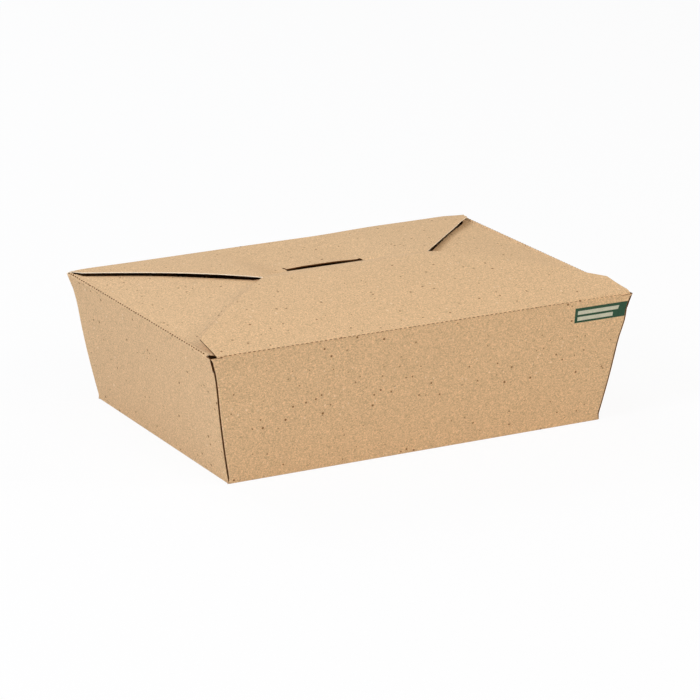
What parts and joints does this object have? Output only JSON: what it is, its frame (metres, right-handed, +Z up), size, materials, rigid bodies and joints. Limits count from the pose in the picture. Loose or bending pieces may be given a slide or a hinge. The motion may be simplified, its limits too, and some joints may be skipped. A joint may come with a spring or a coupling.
{
  "type": "folded takeaway box",
  "caption": "Folded kraft board takeaway box with flared walls, folded corner webs and interlocking top flaps; the front flap swings open.",
  "frame": {"origin": "centre of the base, on the surface that the box stands on", "axes": "+X along the long walls, the opening flap hinges on the long wall at -Y, +Z up"},
  "size_m": [0.2206, 0.1554, 0.0725],
  "materials": {
    "kraft_board": "uncoated brown kraft board with fine fibres and specks"
  },
  "bodies": {
    "carton": {"carton": "kraft_board"},
    "front_flap": {"front_flap": "kraft_board"}
  },
  "joints": [
    {"name": "front_flap_fold", "type": "hinge", "parent": "carton", "child": "front_flap", "pos_m": [0, -0.07775, 0.0635], "axis": [1, 0, 0], "range_deg": [0, 180]}
  ]
}
